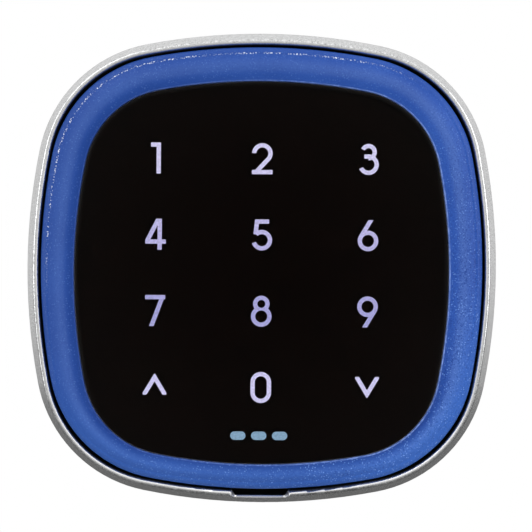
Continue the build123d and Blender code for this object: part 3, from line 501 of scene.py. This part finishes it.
def ring_sparkle(s, colour):
    """Dark pits and bright specks of painted glint, coarser towards the lower right, with painted light
    on the outer half there and at the foot.
    """
    pits = s.ramp(s.noise(0.3, 2, 0.8), [(0.36, 1.0), (0.5, 0.0)])
    pitted = s.mix(s.product(pits, s.coarse), colour, (0.012, 0.045, 0.24))
    # painted light on the outer half, at the lower right and along the foot
    outer_half = s.ramp(s.inset, [(0.32, 1.0), (0.58, 0.0)])
    corner_lit = s.ramp(s.lower_right, [(0.5, 0.0), (0.76, 0.26)])
    foot_lit = s.ramp(s.up, [(0.08, 0.16), (0.3, 0.0)])
    painted_light = s.product(outer_half, s.math("MAXIMUM", corner_lit, foot_lit))
    lit_blue = s.mix(painted_light, pitted, (0.095, 0.28, 0.85))
    # painted glints: sparse bright specks
    glint_specks = s.ramp(s.cells(0.42), [(0.16, 1.0), (0.32, 0.0)])
    patches = s.ramp(s.noise(1.4, 3, 0.6), [(0.4, 0.15), (0.6, 0.8)])
    return s.mix(s.product(glint_specks, patches, s.coarse), lit_blue, (0.2, 0.36, 0.8))


def ring_glints(s, colour):
    """A painted highlight: a beaded line of light on the shoulder, along the top and down the left."""
    brow = s.ramp(s.inset, [(0.108, 0.0), (0.12, 1.0), (0.14, 1.0), (0.156, 0.0)])
    beads = s.ramp(s.cells(0.3), [(0.3, 1.0), (0.46, 0.0)])
    runs = s.ramp(s.noise(1.6, 2, 0.6), [(0.42, 0.2), (0.54, 0.9)])
    upper_left = s.math("SUBTRACT", s.up, s.product(s.right, 0.55))
    lit = s.product(runs, s.ramp(upper_left, [(0.42, 0.0), (0.6, 1.0)]))
    return s.mix(s.product(brow, beads, lit), colour, (0.8, 0.86, 1.0))


def ring_edge(s, colour):
    """A painted highlight: a thin broken line of light beside the glass, strongest on the right."""
    edge = s.ramp(s.attribute("from_panel", 2), [(0.03, 1.0), (0.1, 0.9), (0.13, 0.0)])
    sides_lit = s.ramp(s.right, [(0.15, 0.08), (0.5, 0.45), (0.8, 1.0)])
    broken = s.product(s.ramp(s.noise(0.7, 3, 0.6), [(0.42, 0.3), (0.62, 1.0)]), sides_lit)
    return s.mix(s.product(edge, broken), colour, (0.2, 0.31, 0.7))


def ring_blue():
    """Blue moulding with a fine spark-eroded face, and painted light, shade and glints in its colour."""
    s = RingShader("ring_blue", Specular_IOR_Level=0.14)
    grain = s.noise(0.16, 2, 0.6)
    s.set(Base_Color=ring_edge(s, ring_glints(s, ring_sparkle(s, ring_shading(s)))))
    s.set(Roughness=s.ramp(grain, [(0.35, 0.3), (0.7, 0.44)]))
    s.bump(grain, 0.006, 0.7)
    return s.mat


# ---- panel ------------------------------------------------------------------------------------
def panel_glass():
    """Clear cover glass with faint wipe marks."""
    s = Shader("panel_glass", IOR=1.5, Transmission_Weight=1.0, Base_Color=(1, 1, 1, 1))
    s.set(Roughness=s.ramp(s.noise(7, 4, 0.6), [(0.4, 0.0), (0.75, 0.03)]))
    return s.mat


def mask_black():
    """Opaque print on the back of the glass, with a few pale motes."""
    s = Shader("mask_black", Roughness=0.6, Specular_IOR_Level=0.0)
    ink = s.ramp(s.noise(3), [(0.3, (0.0042, 0.0024, 0.0018)), (0.7, (0.0058, 0.0032, 0.0024))])
    motes = s.ramp(s.cells(2.6), [(0.02, 0.7), (0.045, 0.0)])
    s.set(Base_Color=s.mix(motes, ink, (0.05, 0.035, 0.032)))
    return s.mat


FILM_LOW, FILM_HIGH = -34, 26
# Z and colour of the light behind the status windows, the lowest keys and the rows above them
LEGEND_LIGHT = [
    (-29, (0.22, 0.37, 0.52)),
    (-26, (0.64, 0.61, 0.9)),
    (-19, (0.64, 0.61, 0.9)),
    (-9, (0.38, 0.37, 0.7)),
    (6, (0.5, 0.47, 0.78)),
    (19, (0.66, 0.63, 0.9)),
]


def legend_light():
    """Film behind the legends, lit row by row from the lamps under it."""
    s = Shader("legend_light", Base_Color=(0.05, 0.05, 0.06, 1), Roughness=0.7, Specular_IOR_Level=0.0)
    height = s.axis("Z", FILM_LOW, FILM_HIGH)
    rows = s.ramp(height, [((z - FILM_LOW) / (FILM_HIGH - FILM_LOW), light) for z, light in LEGEND_LIGHT])
    mottle = s.ramp(s.noise(0.35, 3, 0.6), [(0.3, 0.78), (0.65, 1.12)])
    s.set(Emission_Color=s.tint(rows, mottle))
    s.bsdf.inputs["Emission Strength"].default_value = 1.0
    return s.mat


# ---- parts inside -----------------------------------------------------------------------------
PLATING = (0.75, 0.6, 0.3)
# colour of the solder mask
BOARDS = {
    "board_green": ((0.012, 0.085, 0.03),),
    "board_black": ((0.008, 0.009, 0.012),),
}
# colour, roughness, and how much finer the texture is along each axis
BRUSHED = {
    "steel_screw": ((0.62, 0.62, 0.64), 0.28, (1, 1, 12)),
    "spring_steel": ((0.6, 0.6, 0.58), 0.3, (12, 1, 1)),
    "can_aluminium": ((0.78, 0.78, 0.8), 0.3, (1, 1, 12)),
    "brass": ((0.78, 0.58, 0.26), 0.28, (1, 1, 12)),
}
# colour, how uneven it is, roughness, size of the grain and depth of the grain
MOULDED = {
    "seal_rubber": ((0.018, 0.018, 0.02), 0.12, 0.75, 0.3, 0.02),
    "terminal_plastic": ((0.03, 0.2, 0.08), 0.12, 0.42, 0.2, 0.008),
    "relay_case": ((0.02, 0.09, 0.3), 0.12, 0.4, 0.25, 0.01),
    "black_plastic": ((0.014, 0.014, 0.015), 0.12, 0.5, 0.22, 0.012),
    "white_plastic": ((0.72, 0.71, 0.68), 0.05, 0.45, 0.25, 0.008),
    "red_plastic": ((0.42, 0.02, 0.015), 0.12, 0.4, 0.2, 0.008),
    "switch_blue": ((0.015, 0.06, 0.28), 0.12, 0.4, 0.2, 0.008),
    "chip_black": ((0.02, 0.02, 0.021), 0.12, 0.6, 0.12, 0.01),
    "adhesive": ((0.02, 0.02, 0.02), 0.12, 0.6, 0.2, 0.01),
    "grid_white": ((0.78, 0.78, 0.77), 0.04, 0.5, 0.3, 0.01),
}
# colours of the case and of the lens
LAMPS = {
    "led_white": ((0.7, 0.7, 0.66), (0.75, 0.6, 0.12)),
    "led_blue": ((0.7, 0.7, 0.68), (0.12, 0.25, 0.6)),
}


def circuit_board(name, mask):
    """Solder mask over copper tracks, with plated holes."""
    s = Shader(name, Roughness=0.32)
    s.bsdf.inputs["Coat Weight"].default_value = 0.3
    here = s.ramp(s.noise(5, 1), [(0.46, 0.0), (0.48, 1.0)])
    there = s.ramp(s.noise(4, 1), [(0.5, 0.0), (0.52, 1.0)])
    level = s.product(here, s.courses(5.3, 0.95, 0))
    upright = s.product(there, s.courses(4.4, 1.15, 90))
    tracks = s.math("MAXIMUM", level, upright)
    cloud = s.ramp(s.noise(7, 2), [(0.3, tone(mask, 0.85)), (0.7, tone(mask, 1.15))])
    board = s.mix(tracks, cloud, tone(mask, 2.2))
    holes = s.ramp(s.cells(3.1), [(0.07, 1.0), (0.1, 0.0)])
    s.set(Base_Color=s.mix(holes, board, PLATING))
    s.bump(tracks, 0.03, 0.6)
    return s.mat


def brushed(name, colour, rough, finer):
    """Drawn or turned metal with fine lines."""
    s = Shader(name, Metallic=1.0)
    lines = s.noise(0.5, 3, 0.6, s.place(finer))
    s.set(Base_Color=s.ramp(s.noise(2.5, 3), [(0.3, tone(colour, 0.88)), (0.7, tone(colour, 1.08))]))
    s.set(Roughness=s.ramp(lines, [(0.3, rough * 0.75), (0.7, rough * 1.35)]))
    s.bump(lines, 0.01, 0.5)
    return s.mat


def moulded(name, colour, spread, rough, grain, depth):
    """Moulded material with a fine grain and a slightly uneven colour."""
    s = Shader(name)
    cloud = s.noise(4, 3, 0.55)
    fine = s.noise(grain, 3, 0.6)
    s.set(Base_Color=s.ramp(cloud, [(0.3, tone(colour, 1 - spread)), (0.7, tone(colour, 1 + spread))]))
    s.set(Roughness=s.ramp(fine, [(0.3, rough * 0.82), (0.7, min(1.0, rough * 1.2))]))
    s.bump(fine, depth, 0.7)
    return s.mat


def lamp(name, case, lens):
    """Small lamp: a pale case with a yellow or blue lens."""
    s = Shader(name, Roughness=0.35)
    s.set(Base_Color=s.ramp(s.noise(1.1, 2), [(0.42, case), (0.52, lens)]))
    s.bump(s.noise(0.2), 0.01, 0.5)
    return s.mat


def foam():
    """Closed-cell foam."""
    s = Shader("foam", Roughness=0.95)
    cell = s.cells(0.45)
    s.set(Base_Color=s.ramp(cell, [(0.0, (0.012, 0.012, 0.013)), (0.7, (0.045, 0.045, 0.048))]))
    s.bump(cell, 0.12, 0.9)
    return s.mat


def wound_wire():
    """Enamelled copper wire laid in turns."""
    s = Shader("wound_wire", Metallic=1.0, Roughness=0.3)
    turns = s.cells(0.3)
    s.set(Base_Color=s.ramp(turns, [(0.0, (0.80, 0.33, 0.16)), (0.8, (0.35, 0.12, 0.05))]))
    s.bump(turns, 0.06, 0.9)
    return s.mat


def make_finishes():
    """Every finish, under the material slot that it belongs to."""
    made = {
        "satin_metal": satin_metal(),
        "ring_blue": ring_blue(),
        "panel_glass": panel_glass(),
        "mask_black": mask_black(),
        "diffuser": legend_light(),
        "foam": foam(),
        "copper_wire": wound_wire(),
    }
    for table, make in ((BOARDS, circuit_board), (BRUSHED, brushed), (MOULDED, moulded), (LAMPS, lamp)):
        made.update({slot: make(slot, *values) for slot, values in table.items()})
    return made


def finish_nodes(finishes):
    """Gives each CAD node the finish of its own material slot."""
    slots = {part["node"]: part["material_slot"] for part in frame["record"]["subparts"]}
    for name, node in frame["nodes"].items():
        node.data.materials.clear()
        node.data.materials.append(finishes[slots[name]])


# ---- studio, in metres ------------------------------------------------------------------------
LENS = 335.6  # focal length, in millimetres
CAMERA_AT = (0.00078, -0.9, 0.00036)
CAMERA_ROLL = 0.4  # degrees, which turns the picture a little clockwise
FLOOR_RADIUS = 0.45
FLOOR_Z = -0.25
# place, size and power in watts
LIGHTS = {
    "key": ((-0.45, -0.55, 0.65), (0.45, 0.45), 1.5),
    "left": ((-0.85, -0.4, 0.1), (0.4, 0.7), 2.2),
    "right": ((0.85, -0.5, 0.25), (0.4, 0.7), 4),
}
# Brightness around the object by direction: from below (0) to above (1), and from the front (0) to
# behind (1). The front starts with a narrow dark cone, and the last is a little light added beside it.
SKY_BY_HEIGHT = [
    (0.0, 0.15),
    (0.4, 0.175),
    (0.45, 0.14),
    (0.49, 0.72),
    (0.62, 0.76),
    (0.78, 0.98),
    (1.0, 0.98),
]
SKY_BY_DEPTH = [(0.0, 0.012), (0.0024, 0.012), (0.007, 0.8), (0.12, 1.0), (1.0, 0.98)]
FRONT_FILL = [(0.0, 0.0), (0.01, 0.0), (0.03, 0.12), (0.3, 0.12), (0.46, 0.0)]


def area_light(name, at, size, power):
    """A rectangular light that points at the object."""
    data = bpy.data.lights.new(name, "AREA")
    data.shape = "RECTANGLE"
    data.size, data.size_y = size
    data.energy = power
    light = bpy.data.objects.new(name, data)
    light.location = at
    light.rotation_euler = (-Vector(at)).to_track_quat("-Z", "Y").to_euler()
    bpy.context.scene.collection.objects.link(light)


def sky_ramp(tree, direction, stops):
    """Brightness by one part of a direction, which runs from -1 to 1."""
    half = add_node(tree, "Math", operation="MULTIPLY_ADD")
    half.inputs[1].default_value = 0.5
    half.inputs[2].default_value = 0.5
    tree.links.new(direction, half.inputs[0])
    ramp = add_node(tree, "ValToRGB")
    set_stops(ramp, stops)
    tree.links.new(half.outputs[0], ramp.inputs["Fac"])
    return ramp.outputs["Color"]


def sky_blend(tree, blend, a, b):
    """Two brightnesses multiplied or added."""
    made = add_node(tree, "Mix", data_type="RGBA", blend_type=blend)
    made.inputs[0].default_value = 1.0
    tree.links.new(a, made.inputs[6])
    tree.links.new(b, made.inputs[7])
    return made.outputs[2]


def build_world():
    """White behind the object, and a soft studio around it: bright above, dim below and in front."""
    world = bpy.data.worlds.new("studio")
    bpy.context.scene.world = world
    world.use_nodes = True
    tree = world.node_tree
    tree.nodes.clear()
    link = tree.links.new
    coord, split = add_node(tree, "TexCoord"), add_node(tree, "SeparateXYZ")
    link(coord.outputs["Generated"], split.inputs["Vector"])
    height, depth = split.outputs["Z"], split.outputs["Y"]
    soft = sky_blend(
        tree, "MULTIPLY", sky_ramp(tree, height, SKY_BY_HEIGHT), sky_ramp(tree, depth, SKY_BY_DEPTH)
    )
    around, white = add_node(tree, "Background"), add_node(tree, "Background")
    link(sky_blend(tree, "ADD", soft, sky_ramp(tree, depth, FRONT_FILL)), around.inputs["Color"])
    white.inputs["Color"].default_value = (1, 1, 1, 1)
    path, pick, out = (add_node(tree, kind) for kind in ("LightPath", "MixShader", "OutputWorld"))
    link(path.outputs["Is Camera Ray"], pick.inputs[0])
    link(around.outputs[0], pick.inputs[1])
    link(white.outputs[0], pick.inputs[2])
    link(pick.outputs[0], out.inputs["Surface"])


def build_floor():
    """Pale disc below the reader, which lights it from underneath but isn't mirrored in its metal."""
    mesh = bpy.data.meshes.new("floor")
    bm = bmesh.new()
    bmesh.ops.create_circle(bm, cap_ends=True, segments=96, radius=FLOOR_RADIUS)
    bm.to_mesh(mesh)
    bm.free()
    floor = bpy.data.objects.new("floor", mesh)
    floor.location = (0, 0, FLOOR_Z)
    floor.visible_glossy = False
    bpy.context.scene.collection.objects.link(floor)
    s = Shader("floor", Roughness=0.8)
    s.set(Base_Color=s.ramp(s.noise(60, 2), [(0.3, 0.74), (0.7, 0.78)]))
    mesh.materials.append(s.mat)


def build_camera():
    """Straight in front of the reader, with the object a little left of and below the middle."""
    data = bpy.data.cameras.new("camera")
    data.lens = LENS
    camera = bpy.data.objects.new("camera", data)
    facing = Matrix.Rotation(QUARTER, 4, "X")
    roll = Matrix.Rotation(math.radians(CAMERA_ROLL), 4, "Z")
    camera.matrix_world = Matrix.Translation(CAMERA_AT) @ facing @ roll
    bpy.context.scene.collection.objects.link(camera)
    bpy.context.scene.camera = camera


bpy.context.scene.view_settings.view_transform = "Standard"
build_camera()
build_world()
build_floor()
for name, values in LIGHTS.items():
    area_light(name, *values)

finishes = make_finishes()
finish_nodes(finishes)
for piece, slot in ((build_ring(), "ring_blue"), (build_glass(), "panel_glass")):
    piece.data.materials.append(finishes[slot])
